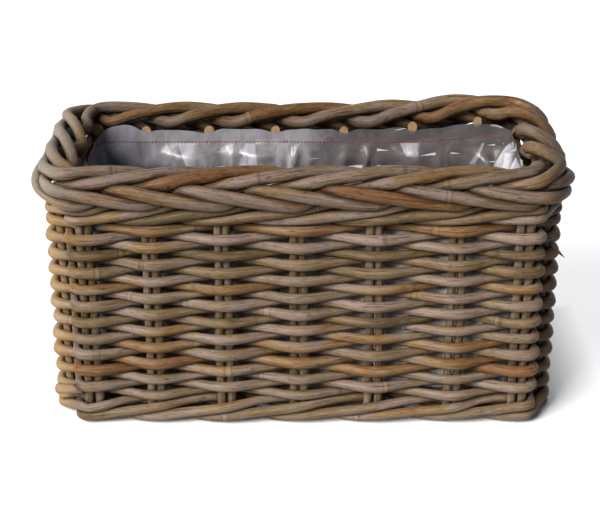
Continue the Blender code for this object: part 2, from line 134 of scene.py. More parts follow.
# How loose the film is in the hem, and how far below it hangs free. How far billows, creases and small
# waves bring it in, and how closely they lie, for creases along, up and from which row.
HEM_LOOSE, LOOSE_OVER = 0.22, 0.020
BILLOW, CREASE, RIPPLE = (0.0045, 20), (0.0035, 38, 26, 5), (0.0006, 110)
# Haze: in the left half, how much clearer the right half is, in the hem, in creases and low down.
HAZE, HAZE_CLEARER, HEM_HAZE, CREASE_HAZE, LOW_HAZE = 0.54, 0.32, 0.09, 0.16, 0.10
# Haze of the front wall and of the left end, where it carries painted light and painted shade, and how much
# less that is low down.
FRONT_HAZE, END_HAZE, END_LOW = 0.95, 0.74, 0.3
# Where the right half clears, what is low down, what is front wall, and where it and the left end haze.
CLEAR_X, LOW_Z, FRONT_Y = (0.0, 0.05), (0.160, 0.140), -0.03
FRONT_HAZE_X, END_HAZE_X = (-0.02, 0.06), (-0.112, -0.142)

# Crisp bright patches below the hem at the back, partly whiter film and partly painted highlights: left side
# at the hem, its lean and softness, right side at the hem, its lean and softness, how far down it runs,
# strength.
BRIGHT_PATCHES = (
    (-0.1045, 0.42, 0.0012, -0.0640, -0.10, 0.030, 0.060, 0.88),
    (-0.0560, -0.25, 0.0100, -0.0345, 0.10, 0.006, 0.060, 0.88),
    (-0.0335, 0.10, 0.0120, -0.0125, 0.22, 0.0010, 0.060, 0.76),
    (-0.0118, 0.30, 0.0010, -0.0080, -0.16, 0.0030, 0.020, 0.85),
    (0.0775, 0.55, 0.0020, 0.0985, 0.00, 0.0045, 0.013, 0.72),
    (0.1440, -0.60, 0.0050, 0.1510, -0.45, 0.0012, 0.022, 0.75),
)
# How far below the hem they are at full strength, and from which share of their depth they fade.
PATCH_STARTS, PATCH_FADES = 0.0012, 0.8
# The patch in the right end's back corner, whiter film partly painted as lit: its left side, and where it
# fades in along y and z.
CORNER_PATCH = (0.1672, -0.56, 0.0010)
CORNER_PATCH_Y, CORNER_PATCH_Z = (-0.045, -0.030), (0.120, 0.145)
# Where the film counts as its back wall, its left end with painted shade, and its front wall behind the right
# half, painted paler for light shining through it.
FILM_BACK_Y, FILM_LEFT_X = (0.035, 0.045), (-0.100, -0.146)
FILM_FRONT_Y, FILM_FRONT_X = (-0.040, -0.052), (-0.01, 0.06)
# The film's edge: its waves as height, closeness and row of the noise, how far and how wide a cut end
# presses it down, and its local rises as height, middle and width.
EDGE_WAVES = ((0.0026, 16, 3.0), (0.0012, 60, 0.0))
PRESS_DEPTH, PRESS_WIDTH = 0.0030, 0.0075
EDGE_RISES = ((0.0042, -0.146, 0.012), (0.0024, 0.083, 0.010))

# Loose ends that show at the corners: points and radii.
WEAVER_END = np.array(((-0.1700, -0.0870, 0.0290, 0.0036), (-0.1770, -0.0860, 0.0278, 0.0040),
                       (-0.1835, -0.0825, 0.0265, 0.0041), (-0.1898, -0.0780, 0.0250, 0.0043)))
SPLINTER = np.array(((0.1860, -0.0700, 0.1440, 0.0016), (0.1900, -0.0725, 0.1400, 0.0013),
                     (0.1935, -0.0740, 0.1362, 0.0009), (0.1972, -0.0750, 0.1330, 0.0002)))

# Cane skin: tones from dark to orange brown, by place on the scale.
SKIN_TONES = ((0.00, (82, 66, 42)), (0.20, (108, 88, 59)), (0.40, (112, 94, 73)),
              (0.60, (128, 111, 101)), (0.80, (122, 96, 60)), (1.00, (108, 73, 40)))
# Textures along and round the rod: how close they lie, detail, roughness.
SKIN_NOISES = {
    "streak": ((22.0, 7.0, 7.0), 5.0, 0.65), "fine": ((60.0, 24.0, 24.0), 4.0, 0.6),
    "worn": ((34.0, 2.4, 2.4), 4.0, 0.7), "dark": ((38.0, 4.0, 4.0), 4.0, 0.55),
    "fleck": ((170.0, 5.0, 5.0), 3.0, 0.6),
}
# How they colour the skin, in order: texture, kind, from, to, share, colour.
SKIN_LAYERS = (
    ("worn", "MIX", 0.52, 0.72, 0.55, (128, 112, 94)),
    ("streak", "MULTIPLY", 0.50, 0.32, 0.85, (150, 126, 100)),
    ("fine", "MIX", 0.58, 0.80, 0.40, (142, 124, 101)),
    ("dark", "MULTIPLY", 0.56, 0.70, 0.80, (126, 98, 74)),
    ("fleck", "MULTIPLY", 0.58, 0.66, 0.75, (120, 98, 78)),
    ("fleck", "MIX", 0.40, 0.32, 0.40, (156, 139, 118)),
)
# Where the skin changes, with painted shade: up into the rim, which is darkened, up the back border, darker
# low down than at its top, back along y, and out at both ends, the right end darkened and the left end paler.
RIM_Z, BACK_SHADE_Z = (BORDER_Z - 0.006, BORDER_Z + 0.004), (BORDER_Z + 0.002, BORDER_Z + 0.024)
BACK_Y, RIGHT_X, LEFT_X = (0.030, 0.066), (0.178, 0.192), (-0.174, -0.190)

# Camera and light, fitted to the photograph's view.
LENS, SENSOR, CAMERA_TILT = 101.0, 36.0, 22.0
CAMERA_SPOT = (-0.0026, -1.2530, 0.6095)
AMBIENT_LEFT, AMBIENT_RIGHT = (0.50, 0.51, 0.54), (0.05, 0.053, 0.062)
# The lamp: degrees from the front to the left, degrees up, strength and degrees of spread.
KEY = (40, 32, 6.1, 32)
# The floor: size, tone away from the object and for bounced light, its glow there, and how far that starts.
FLOOR_SIZE, FLOOR_AWAY, FLOOR_BOUNCE, FLOOR_GLOW, GLOW_FROM = 4.0, 0.36, 0.30, 0.77, 0.06


def half(z):
    """Half the length and depth of the line of stakes at a height."""
    drop = LEAN * (BORDER_Z - z) / BORDER_Z
    return LENGTH / 2 - drop, DEPTH / 2 - drop


def centre(pair, z):
    """Middle of a pair of stakes at a height."""
    hx, hy = half(z)
    _, _, sx, sy = PAIRS[pair % NP]
    return np.array((sx * hx, sy * hy, z))


def out_of(pair):
    """Direction out of the wall at a pair."""
    return np.array((*PAIRS[pair % NP][:2], 0.0), dtype=float)


def along(pair):
    """Direction along the wall at a pair, counterclockwise."""
    o = out_of(pair)
    return np.array((-o[1], o[0], 0.0))


def stake_at(pair, lead, z):
    return centre(pair, z) + along(pair) * lead * SHIFT


def eased(share):
    return share * share * (3 - 2 * share)


def ramped(value, start, end):
    """How far a value is on the way from a start to an end, from 0 to 1."""
    return min(1.0, max(0.0, (value - start) / (end - start)))


def smooth(points, values, step):
    """Centripetal Catmull-Rom curve through the points, sampled evenly, with values carried along."""
    p = np.array(points, dtype=float)
    v = np.array(values, dtype=float).reshape(len(p), -1)
    p = np.vstack([2 * p[0] - p[1], p, 2 * p[-1] - p[-2]])
    v = np.vstack([v[0], v, v[-1]])
    gaps = np.maximum(np.linalg.norm(np.diff(p, axis=0), axis=1), 1e-6)
    t = np.concatenate([[0], np.cumsum(gaps ** 0.5)])
    outs, vals = [], []
    for i in range(1, len(p) - 2):
        n = max(2, int(np.linalg.norm(p[i + 1] - p[i]) / step) + 1)
        u = np.linspace(t[i], t[i + 1], n, endpoint=False)[:, None]

        def between(low, high, one, other):
            return (t[high] - u) / (t[high] - t[low]) * one + (u - t[low]) / (t[high] - t[low]) * other

        a1, a2, a3 = (between(k, k + 1, p[k], p[k + 1]) for k in (i - 1, i, i + 1))
        b1, b2 = between(i - 1, i + 1, a1, a2), between(i, i + 2, a2, a3)
        outs.append(between(i, i + 1, b1, b2))
        share = eased((u - t[i]) / (t[i + 1] - t[i]))
        vals.append(v[i] * (1 - share) + v[i + 1] * share)
    outs.append(p[-2:-1])
    vals.append(v[-2:-1])
    return np.vstack(outs), np.vstack(vals)


def wander(length, rng, scale, knots_per_m):
    """A smooth random line over a length, for bends and thickness."""
    count = max(4, int(length[-1] * knots_per_m) + 3)
    knots = np.array([rng.uniform(-1, 1) for _ in range(count)])
    x = length / max(length[-1], 1e-6) * (count - 1)
    i = np.clip(x.astype(int), 0, count - 2)
    f = eased(x - i)
    return scale * (knots[i] * (1 - f) + knots[i + 1] * f)


def across(line):
    """Two directions square to the line at each of its points, without a twist."""
    tangent = np.gradient(line, axis=0)
    tangent /= np.linalg.norm(tangent, axis=1)[:, None]
    normal = np.zeros_like(line)
    n = np.cross(tangent[0], (0.0, 0.0, 1.0))
    if np.linalg.norm(n) < 0.1:
        n = np.cross(tangent[0], (1.0, 0.0, 0.0))
    for i, t in enumerate(tangent):
        n = n - t * np.dot(n, t)
        n /= np.linalg.norm(n)
        normal[i] = n
    return normal, np.cross(tangent, normal)


def quads(rows):
    """Faces between each closed row of points and the next one."""
    a, b = rows[:-1], rows[1:]
    return np.stack([a, np.roll(a, -1, axis=1), np.roll(b, -1, axis=1), b], axis=-1).reshape(-1, 4)


def tube_faces(count):
    """Faces between the rows of a tube, and those that close its ends round two points that come last."""
    total = count * SIDES
    last = total - SIDES
    caps = []
    for k in range(SIDES):
        ahead = (k + 1) % SIDES
        caps += [(ahead, k, total), (last + k, last + ahead, total + 1)]
    return quads(np.arange(total).reshape(count, SIDES))[:, ::-1], caps


CANES = []


def cane(name, points, radii, node, slot, seed, tall=1.0, wobble=0.0004, tone=None):
    """A cane: tube along a smooth curve, with growth rings, uneven thickness and cut ends.

    tall stretches the section upwards, one value or one for each point.
    """
    rng = random.Random(seed)
    talls = tall if isinstance(tall, list) else [tall] * len(points)
    line, values = smooth(points, list(zip(radii, talls)), ROW_STEP)
    rad, tall = values[:, 0], values[:, 1]
    run = np.concatenate([[0], np.cumsum(np.linalg.norm(np.diff(line, axis=0), axis=1))])
    for axis in range(3):
        line[:, axis] += wander(run, rng, wobble, BENDS)
    rad = rad * (1 + wander(run, rng, *UNEVEN_SLOW) + wander(run, rng, *UNEVEN_FAST))
    rings = np.zeros(len(run))
    spot = rng.uniform(0.0, FIRST_RING)
    while spot < run[-1]:
        near = np.exp(-((run - spot) / RING_WIDTH) ** 2)
        rings = np.maximum(rings, near * rng.uniform(*RING_STRENGTH))
        rad = rad * (1 + RING_SWELL * near)
        spot += rng.uniform(*RING_EVERY)
    normal, binormal = across(line)
    angles = np.arange(SIDES) * 2 * math.pi / SIDES
    ripple = sum((size * np.sin(angles * lobes + rng.uniform(0, 6)) for size, lobes in LOBES), 1.0)
    ca, sa = np.cos(angles), np.sin(angles)
    off = (normal[:, None, :] * (rad[:, None] * ca * ripple)[:, :, None]
           + binormal[:, None, :] * (rad[:, None] * sa * ripple)[:, :, None])
    off[:, :, 2] *= tall[:, None]
    off[:, :, :2] /= np.sqrt(tall)[:, None, None]
    count = len(line)
    verts = np.vstack([(line[:, None, :] + off).reshape(-1, 3), line[0], line[-1]])
    verts[:, 2] = np.maximum(verts[:, 2], LOWEST)
    faces, caps = tube_faces(count)
    mesh = bpy.data.meshes.new(name)
    mesh.from_pydata(verts.tolist(), [], faces.tolist() + caps)
    mesh.materials.append(RATTAN)
    mesh.materials.append(PITH)
    is_cap = np.arange(len(mesh.polygons)) >= len(faces)
    mesh.polygons.foreach_set("material_index", is_cap.astype(np.int32))
    mesh.polygons.foreach_set("use_smooth", ~is_cap)
    grain = np.zeros((len(verts), 3), dtype=np.float32)
    grain[:-2, 0] = np.repeat(run, SIDES) + rng.uniform(0, 50)
    grain[:-2, 1] = np.tile(ca, count)
    grain[:-2, 2] = np.tile(sa, count)
    put(mesh, "grain", grain)
    ringed = np.zeros(len(verts), dtype=np.float32)
    ringed[:-2] = np.repeat(rings, SIDES)
    put(mesh, "ring", ringed)
    CANES.append((mesh, line, rad * np.sqrt(tall)))
    shade = np.full(len(verts), rng.random() if tone is None else tone, dtype=np.float32)
    if slot == "stake_rattan":
        below = np.clip((STAKE_TONE_TOP - verts[:, 2]) / STAKE_TONE_FADE, 0, 1)
        shade += below * (STAKE_TONE + STAKE_TONE_SPREAD * (rng.random() - 0.5) - shade)
    put(mesh, "tone", shade.astype(np.float32))
    placed(name, mesh, node)


def shade_and_soil_creases():
    """Marks the skin close to other canes, where it gets painted shade and dirt."""
    centres = np.vstack([line for _, line, _ in CANES])
    radii = np.concatenate([rad for _, _, rad in CANES])
    owner = np.repeat(np.arange(len(CANES)), [len(line) for _, line, _ in CANES])
    tree = kdtree.KDTree(len(centres))
    for index, spot in enumerate(centres):
        tree.insert(spot, index)
    tree.balance()
    for number, (mesh, line, _) in enumerate(CANES):
        spots = np.empty(len(mesh.vertices) * 3)
        mesh.vertices.foreach_get("co", spots)
        rings = spots.reshape(-1, 3)[:len(line) * SIDES].reshape(len(line), SIDES, 3)
        crease = np.zeros(len(mesh.vertices), dtype=np.float32)
        for index, spot in enumerate(line):
            others = [found for _, found, _ in tree.find_range(spot, CREASE_SEARCH) if owner[found] != number]
            if others:
                away = np.linalg.norm(rings[index][:, None] - centres[others][None], axis=2) - radii[others]
                gap = away.min(axis=1)
                crease[index * SIDES:(index + 1) * SIDES] = np.clip(1 - gap / CREASE_WIDTH, 0, 1)
        put(mesh, "crease", crease)


def put(mesh, name, values):
    """Stores one number or vector a vertex for the material to read."""
    kind, field = ("FLOAT_VECTOR", "vector") if values.ndim == 2 else ("FLOAT", "value")
    mesh.attributes.new(name, kind, "POINT").data.foreach_set(field, values.ravel())


def linked(name, data):
    thing = bpy.data.objects.new(name, data)
    bpy.context.scene.collection.objects.link(thing)
    return thing


def placed(name, mesh, node):
    """Links a piece, on the part's only body, in place of a node of the part."""
    piece = linked(name, mesh)
    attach(piece, "root")
    if node:
        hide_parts(node)
    return piece


# Materials

def nodes_of(name):
    material = bpy.data.materials.new(name)
    material.use_nodes = True
    tree = material.node_tree
    return material, tree, tree.nodes["Principled BSDF"]


def attribute(tree, name, output="Fac"):
    node = tree.nodes.new("ShaderNodeAttribute")
    node.attribute_name = name
    return node.outputs[output]


def coordinates(tree, kind="Object"):
    return tree.nodes.new("ShaderNodeTexCoord").outputs[kind]


def axes_of(tree, vector):
    node = tree.nodes.new("ShaderNodeSeparateXYZ")
    tree.links.new(vector, node.inputs[0])
    return node.outputs


def noise_of(tree, vector, scale, detail=4.0, rough=0.55, distortion=0.0):
    node = tree.nodes.new("ShaderNodeTexNoise")
    node.inputs["Scale"].default_value = scale
    node.inputs["Detail"].default_value = detail
    node.inputs["Roughness"].default_value = rough
    node.inputs["Distortion"].default_value = distortion
    tree.links.new(vector, node.inputs["Vector"])
    return node.outputs["Fac"]


def stretched(tree, vector, sizes):
    node = tree.nodes.new("ShaderNodeVectorMath")
    node.operation = "MULTIPLY"
    node.inputs[1].default_value = sizes
    tree.links.new(vector, node.inputs[0])
    return node.outputs["Vector"]


def ramp(tree, fac, stops):
    node = tree.nodes.new("ShaderNodeValToRGB")
    while len(node.color_ramp.elements) < len(stops):
        node.color_ramp.elements.new(0.5)
    for element, (place, colour) in zip(node.color_ramp.elements, stops):
        element.position = place
        element.color = (*colour, 1.0)
    tree.links.new(fac, node.inputs["Fac"])
    return node.outputs["Color"]


def feed(tree, socket, value):
    """Gives a socket a number, a colour or another node's output."""
    if isinstance(value, (int, float)):
        socket.default_value = value
    elif isinstance(value, tuple):
        socket.default_value = (*value, 1.0)
    else:
        tree.links.new(value, socket)


def mixed(tree, kind, fac, a, b):
    node = tree.nodes.new("ShaderNodeMix")
    node.data_type = "RGBA"
    node.blend_type = kind
    for socket, value in ((node.inputs[0], fac), (node.inputs[6], a), (node.inputs[7], b)):
        feed(tree, socket, value)
    return node.outputs[2]


def maths(tree, kind, a, b=0.0, clamp=False):
    node = tree.nodes.new("ShaderNodeMath")
    node.operation = kind
    node.use_clamp = clamp
    feed(tree, node.inputs[0], a)
    feed(tree, node.inputs[1], b)
    return node.outputs[0]


def times(tree, first, *others):
    for other in others:
        first = maths(tree, "MULTIPLY", first, other)
    return first


def spread(tree, value, low, high, to_low=0.0, to_high=1.0):
    node = tree.nodes.new("ShaderNodeMapRange")
    tree.links.new(value, node.inputs[0])
    for socket, number in zip(list(node.inputs)[1:5], (low, high, to_low, to_high)):
        socket.default_value = number
    return node.outputs[0]


def srgb(r, g, b):
    return tuple(((c / 255 + 0.055) / 1.055) ** 2.4 if c > 10 else c / 255 / 12.92 for c in (r, g, b))


def bumped(tree, shader, height, strength, distance):
    node = tree.nodes.new("ShaderNodeBump")
    node.inputs["Strength"].default_value = strength
    node.inputs["Distance"].default_value = distance
    tree.links.new(height, node.inputs["Height"])
    tree.links.new(node.outputs["Normal"], shader.inputs["Normal"])


def rattan():
    """Weathered cane skin: tone per rod, patches, fine streaks, paler growth rings, dark flecks, and painted
    shade in creases, on the rim and at the right end.
    """
    material, tree, shader = nodes_of("rattan_skin")
    grain = attribute(tree, "grain", "Vector")
    tone = attribute(tree, "tone")
    ring = attribute(tree, "ring")
    patches = noise_of(tree, stretched(tree, grain, (15.0, 0.3, 0.3)), 1.0, 3.0)
    shifted = maths(tree, "ADD", tone, times(tree, maths(tree, "SUBTRACT", patches, 0.5), 1.7))
    colour = ramp(tree, shifted, [(place, srgb(*stop)) for place, stop in SKIN_TONES])
    noises = {name: noise_of(tree, stretched(tree, grain, sizes), 1.0, detail, rough)
              for name, (sizes, detail, rough) in SKIN_NOISES.items()}
    for name, kind, low, high, share, tint in SKIN_LAYERS:
        colour = mixed(tree, kind, spread(tree, noises[name], low, high, 0.0, share), colour, srgb(*tint))
    colour = mixed(tree, "MIX", spread(tree, ring, 0.45, 0.95, 0.0, 0.42), colour, srgb(148, 126, 90))
    off_edge = maths(tree, "ABSOLUTE", maths(tree, "SUBTRACT", ring, 0.38))
    edge = maths(tree, "SUBTRACT", 1.0, times(tree, off_edge, 6.0), True)
    colour = mixed(tree, "MULTIPLY", times(tree, edge, 0.50), colour, srgb(110, 84, 60))
    x, y, z = axes_of(tree, coordinates(tree))
    # Painted shade on the rim: darker all along, and at the back darker low down than at its top.
    at_rim = spread(tree, z, *RIM_Z)
    back_border_shade = mixed(tree, "MIX", spread(tree, z, *BACK_SHADE_Z), srgb(122, 109, 99), srgb(240, 240, 242))
    rim_shade = mixed(tree, "MIX", spread(tree, y, *BACK_Y), srgb(229, 228, 227), back_border_shade)
    colour = mixed(tree, "MULTIPLY", at_rim, colour, rim_shade)
    # Painted shade: the canes at the right end are darkened.
    colour = mixed(tree, "MULTIPLY", spread(tree, x, *RIGHT_X), colour, srgb(166, 156, 148))
    # The left end is tinted paler: golden below the rim, greyer on it.
    left_end_tint = mixed(tree, "MIX", at_rim, srgb(164, 132, 88), srgb(142, 133, 118))
    colour = mixed(tree, "MIX", spread(tree, x, *LEFT_X, 0.0, 0.50), colour, left_end_tint)
    # Painted shade and dirt: skin close to other canes is darkened, more widely on the rim.
    tighter = maths(tree, "SUBTRACT", 1.0, times(tree, at_rim, 0.56))
    crease = maths(tree, "POWER", attribute(tree, "crease"), tighter)
    crease = spread(tree, crease, 0.05, 0.95, 0.0, 0.88)
    colour = mixed(tree, "MULTIPLY", crease, colour, srgb(92, 76, 62))
    tree.links.new(colour, shader.inputs["Base Color"])
    shader.inputs["Specular IOR Level"].default_value = 0.16
    tree.links.new(spread(tree, noises["streak"], 0.3, 0.7, 0.40, 0.62), shader.inputs["Roughness"])
    height = maths(tree, "ADD", times(tree, noises["streak"], 0.8), times(tree, noises["fine"], 0.5))
    bumped(tree, shader, height, 0.45, 0.0005)
    return material


def pith():
    """Cut end of a cane: pale core with pores."""
    material, tree, shader = nodes_of("rattan_pith")
    where = coordinates(tree)
    pores = noise_of(tree, where, 1500.0, 3.0, 0.7)
    patches = noise_of(tree, where, 300.0, 2.0)
    colour = srgb(120, 95, 67)
    colour = mixed(tree, "MULTIPLY", spread(tree, pores, 0.55, 0.7, 0.0, 0.7), colour, srgb(150, 120, 92))
    colour = mixed(tree, "MULTIPLY", spread(tree, patches, 0.4, 0.7, 0.0, 0.5), colour, srgb(180, 150, 120))
    tree.links.new(colour, shader.inputs["Base Color"])
    shader.inputs["Roughness"].default_value = 0.85
    bumped(tree, shader, pores, 0.5, 0.0004)
    return material


def within_side(tree, x, drop, side, is_left):
    """1 within one leaning side of a patch, given by its place at the hem, its lean and its softness."""
    at, lean, soft = side
    line = maths(tree, "ADD", at, times(tree, drop, lean))
    gap = maths(tree, "SUBTRACT", *((x, line) if is_left else (line, x)))
    return maths(tree, "DIVIDE", gap, soft, True)


def patch_amount(tree, x, drop, left, right, depth, strength):
    """Where a patch of the film is bright: between two leaning sides, from the hem down to a depth."""
    return times(tree, within_side(tree, x, drop, left, True), strength,
                 within_side(tree, x, drop, right, False),
                 spread(tree, drop, 0.0, PATCH_STARTS), spread(tree, drop, depth, depth * PATCH_FADES))


def film():
    """Clear plastic film, cloudy where it is doubled or creased, with a soft sheen, painted highlights in
    bright patches, painted light on its front wall and painted shade at its left end.
    """
    material, tree, shader = nodes_of("liner_film_skin")
    cloud = attribute(tree, "cloud")
    where = coordinates(tree)
    creases = noise_of(tree, stretched(tree, where, (1.0, 1.0, 0.6)), 95.0, 5.0, 0.6, 1.4)
    smears = noise_of(tree, stretched(tree, where, (1.0, 1.0, 0.5)), 34.0, 3.0)
    x, y, z = axes_of(tree, where)
    drop = maths(tree, "SUBTRACT", HEM_LINE, z)
    at_back = spread(tree, y, *FILM_BACK_Y)
    # Painted highlights: bright patches, added to the haze so they turn whiter and more opaque.
    bright = times(tree, within_side(tree, x, drop, CORNER_PATCH, True),
                   spread(tree, y, *CORNER_PATCH_Y), spread(tree, z, *CORNER_PATCH_Z))
    for row in BRIGHT_PATCHES:
        amount = patch_amount(tree, x, drop, row[:3], row[3:6], *row[6:])
        bright = maths(tree, "MAXIMUM", bright, times(tree, amount, at_back))
    mottled = spread(tree, maths(tree, "ADD", creases, smears), 0.78, 1.12, 0.74, 1.0)
    uneven = times(tree, maths(tree, "SUBTRACT", creases, 0.5), 0.30)
    haze_and_highlights = maths(tree, "MAXIMUM", maths(tree, "ADD", cloud, uneven), times(tree, bright, mottled))
    colour = mixed(tree, "MIX", spread(tree, haze_and_highlights, 0.45, 0.95), srgb(94, 89, 90), srgb(174, 172, 176))
    colour = mixed(tree, "MULTIPLY", spread(tree, smears, 0.4, 0.7, 0.0, 0.5), colour, srgb(196, 194, 198))
    # Painted shade: the film's left end is darkened.
    colour = mixed(tree, "MULTIPLY", spread(tree, x, *FILM_LEFT_X), colour, srgb(222, 222, 228))
    # Painted light: the front wall behind the right half is made paler, for light shining through it.
    at_front = times(tree, spread(tree, y, *FILM_FRONT_Y), spread(tree, x, *FILM_FRONT_X))
    colour = mixed(tree, "MIX", at_front, colour, srgb(230, 230, 236))
    tree.links.new(colour, shader.inputs["Base Color"])
    tree.links.new(spread(tree, haze_and_highlights, 0.10, 0.62, 0.46, 0.98), shader.inputs["Alpha"])
    tree.links.new(spread(tree, smears, 0.3, 0.7, 0.20, 0.40), shader.inputs["Roughness"])
    shader.inputs["Specular IOR Level"].default_value = 0.48
    bumped(tree, shader, creases, 0.28, 0.002)
    return material


def thread():
    """Dark red sewing thread, with its twist."""
    material, tree, shader = nodes_of("thread_red")
    twist = noise_of(tree, coordinates(tree), 2500.0, 2.0)
    colour = mixed(tree, "MIX", spread(tree, twist, 0.35, 0.65), srgb(96, 26, 34), srgb(140, 62, 66))
    tree.links.new(colour, shader.inputs["Base Color"])
    shader.inputs["Roughness"].default_value = 0.8
    return material


RATTAN = rattan()
PITH = pith()
FILM = film()
THREAD = thread()


# Border line round the top

def heading(a):
    return np.array((math.cos(a), math.sin(a), 0.0))


def right_of(a):
    return np.array((math.sin(a), -math.cos(a), 0.0))


def ring_length(half_x, half_y, radius):
    return 4 * (half_x + half_y - 2 * radius) + 2 * math.pi * radius


def on_ring(half_x, half_y, radius, place):
    """Point and direction angle on a rounded rectangle, counterclockwise from the front's left end."""
    place = place % ring_length(half_x, half_y, radius)
    arc = radius * math.pi / 2
    point, angle = np.array((-half_x + radius, -half_y, 0.0)), 0.0
    for wall in range(4):
        length = 2 * ((half_x, half_y)[wall % 2] - radius)
        if place <= length:
            return point + heading(angle) * place, angle
        place -= length
        middle = point + heading(angle) * length - right_of(angle) * radius
        if place <= arc:
            return middle + right_of(angle + place / radius) * radius, angle + place / radius
        place -= arc
        angle += math.pi / 2
        point = middle + right_of(angle) * radius
    return point, angle


def place_of(pair):
    """Where a pair stands along the border line."""
    lap, pair = divmod(pair, NP)
    c = centre(pair, BORDER_Z)
    hx, hy = half(BORDER_Z)
    wall = (pair >= NF) + (pair >= BACK) + (pair >= BACK + NF)
    run = (c[0] + hx, c[1] + hy, hx - c[0], hy - c[1])[wall] - CORNER
    lengths = (2 * (hx - CORNER), 2 * (hy - CORNER)) * 2
    start = sum(lengths[:wall]) + wall * CORNER * math.pi / 2
    if run < 0:
        run = run * (math.pi / 4)
    if run > lengths[wall]:
        run = lengths[wall] + (run - lengths[wall]) * (math.pi / 4)
    return lap * ring_length(hx, hy, CORNER) + start + run


def place_between(place, reach):
    def evened(pair):
        return sum(place_of(pair + s) for s in range(-reach, reach + 1)) / (2 * reach + 1)
    low = math.floor(place)
    return evened(low) + (evened(low + 1) - evened(low)) * (place - low)


def back_share(point):
    """1 along the back, falling to 0 over the ends."""
    return ramped(point[1], DEPTH / 4, DEPTH / 2)


def border_point(pair, run, out, up):
    """A point of a strand: some pair spacings along, and out from the border line and up from it."""
    low = max(0.0, 1.0 - max(0.0, up) / (STRAND_LOW * PITCH))
    place = place_between(pair + run, 2)
    place += low * (place_between(pair + run, 0) - place)
    place += max(0.0, 1.0 - run / STRAND_LEAVES) * SHIFT
    point, angle = on_ring(*half(BORDER_Z), CORNER, place)
    rise = back_share(point) * read(BACK_RISE, point[0])
    return point + right_of(angle) * out + np.array((0, 0, BORDER_Z + up + rise))


def cut_end(pair):
    """Where the end of a pair's strand lies along the object."""
    run, out, up = STRAND[-1]
    return border_point(pair, run, out * PITCH, up * PITCH)[0]


def read(table, value):
    for (a, low), (b, high) in zip(table, table[1:]):
        if value <= b:
            return low + (high - low) * max(0.0, (value - a) / (b - a))
    return table[-1][1]


# Weaving: taut runs that touch circles round the stakes

def turned(spot, signed, before, after):
    """Points round one stake, from one run's direction to the next one's."""
    turn = (after - before + math.pi) % (2 * math.pi) - math.pi
    steps = int(abs(turn) / TURN_STEP) + 1
    part = turn / steps
    return [spot + right_of(before + part * (step + 0.5)) * signed / math.cos(part / 2)
            for step in range(steps)]


def weave(first, last, side_of, height_of, rod, rng):
    """Points and radii of a rod: outside or inside each pair, pinched where it crosses."""
    pegs = []
    for pair in range(first, last + 1):
        side = side_of(pair)
        reach = (STAKE_R + rod) * (1 + rng.uniform(*REACH_SPREAD))
        leads = (-1, 1) if pair % NP in CORNERS else (0,)
        for lead in leads:
            spot = stake_at(pair, lead, height_of(pair))
            spot[2] = 0.0
            pegs.append((spot, side * (reach if lead else reach + MIDDLE_SLACK), pair + lead * LEAD_PLACE))
    angles = []
    for (spot, signed, _), (ahead, signed_ahead, _) in zip(pegs, pegs[1:]):
        step = ahead - spot
        reach = math.hypot(step[0], step[1])
        angles.append(math.atan2(step[1], step[0]) + math.asin((signed - signed_ahead) / reach))
    path = []
    for i, (spot, signed, place) in enumerate(pegs):
        before, after = angles[max(i - 1, 0)], angles[min(i, len(angles) - 1)]
        path += [(point, place) for point in turned(spot, signed, before, after)]
    points, radii = [], []
    for (point, place), (ahead, place_ahead) in zip(path, path[1:]):
        points.append(point + np.array((0, 0, height_of(place) + rng.uniform(*HEIGHT_SPREAD))))
        radii.append(rod)
        if place_ahead - place > 0.5:
            middle = (place + place_ahead) / 2
            points.append((point + ahead) / 2 + np.array((0, 0, height_of(middle))))
            crossing = side_of(round(place)) != side_of(round(place_ahead))
            radii.append(rod * (PINCHED_SHARE if crossing else 1.0))
    points.append(path[-1][0] + np.array((0, 0, height_of(path[-1][1]))))
    radii.append(rod)
    return points, radii


def raised(place, z):
    """How much higher the weave stands at the back, more and more towards the rim."""
    spot = centre(round(place), z)
    return back_share(spot) * ramped(z, *RISE_Z) * (BACK_WALE_RISE + read(BACK_RISE, spot[0]))


def make_courses():
    backs = range(BACK + 1, BACK + NF - 1)
    for course in range(COURSES):
        rng = random.Random(100 + course)
        z = FIRST_COURSE + course * (LAST_COURSE - FIRST_COURSE) / (COURSES - 1)
        choices = [pair for pair in backs if pair % 2 == course % 2]
        start = choices[(course // 2) % len(choices)]
        rod = WEAVER_R * rng.uniform(*WEAVER_SPREAD)
        points, radii = weave(start, start + NP, lambda p: -1 if (p - start) % 2 == 0 else 1,
                              lambda place: z + raised(place, z), rod, rng)
        talls = [COURSE_TALL + (BACK_TALL - COURSE_TALL) * back_share(point) for point in points]
        number = f"{course + 1:02d}"
        cane("course_" + number, points, radii, "weaver_" + number, "weaver_rattan", 200 + course, talls)


def wale_height(place, first, heights):
    """Height of a wale rod: a steady rise over the two pairs that it passes, and a drop behind the third."""
    behind, out, low, high, into = heights
    rows = ((0.0, behind), (0.5, out), (1.0, low), (2.0, high), (2.5, into), (3.0, behind))
    height = read(rows, (place - first) % 3)
    return height + raised(place, height)


def make_wale(name, node, start, heights):
    for number in range(3):
        rng = random.Random(400 + number + len(name))
        first = start + number
        last = first + NP + (1 if number < 2 else -2)
        points, radii = weave(first, last, lambda p: -1 if (p - first) % 3 == 0 else 1,
                              lambda place: wale_height(place, first, heights), WALE_R, rng)
        talls = [1.0 + (BACK_TALL - 1.0) * back_share(point) for point in points]
        cane(f"{name}_{number + 1}", points, radii, f"{node}_{number + 1}", "wale_rattan",
             500 + number + 7 * len(name), talls)


def make_loose_ends():
    """A weaver's cut end at the foot's front left corner, and a splinter at the right end."""
    cane("weaver_end", WEAVER_END[:, :3], WEAVER_END[:, 3], None, "weaver_rattan", 801, tone=0.62)
    cane("splinter", SPLINTER[:, :3], SPLINTER[:, 3], None, "weaver_rattan", 802, 1.0, 0.0001, 0.10)


# Stakes

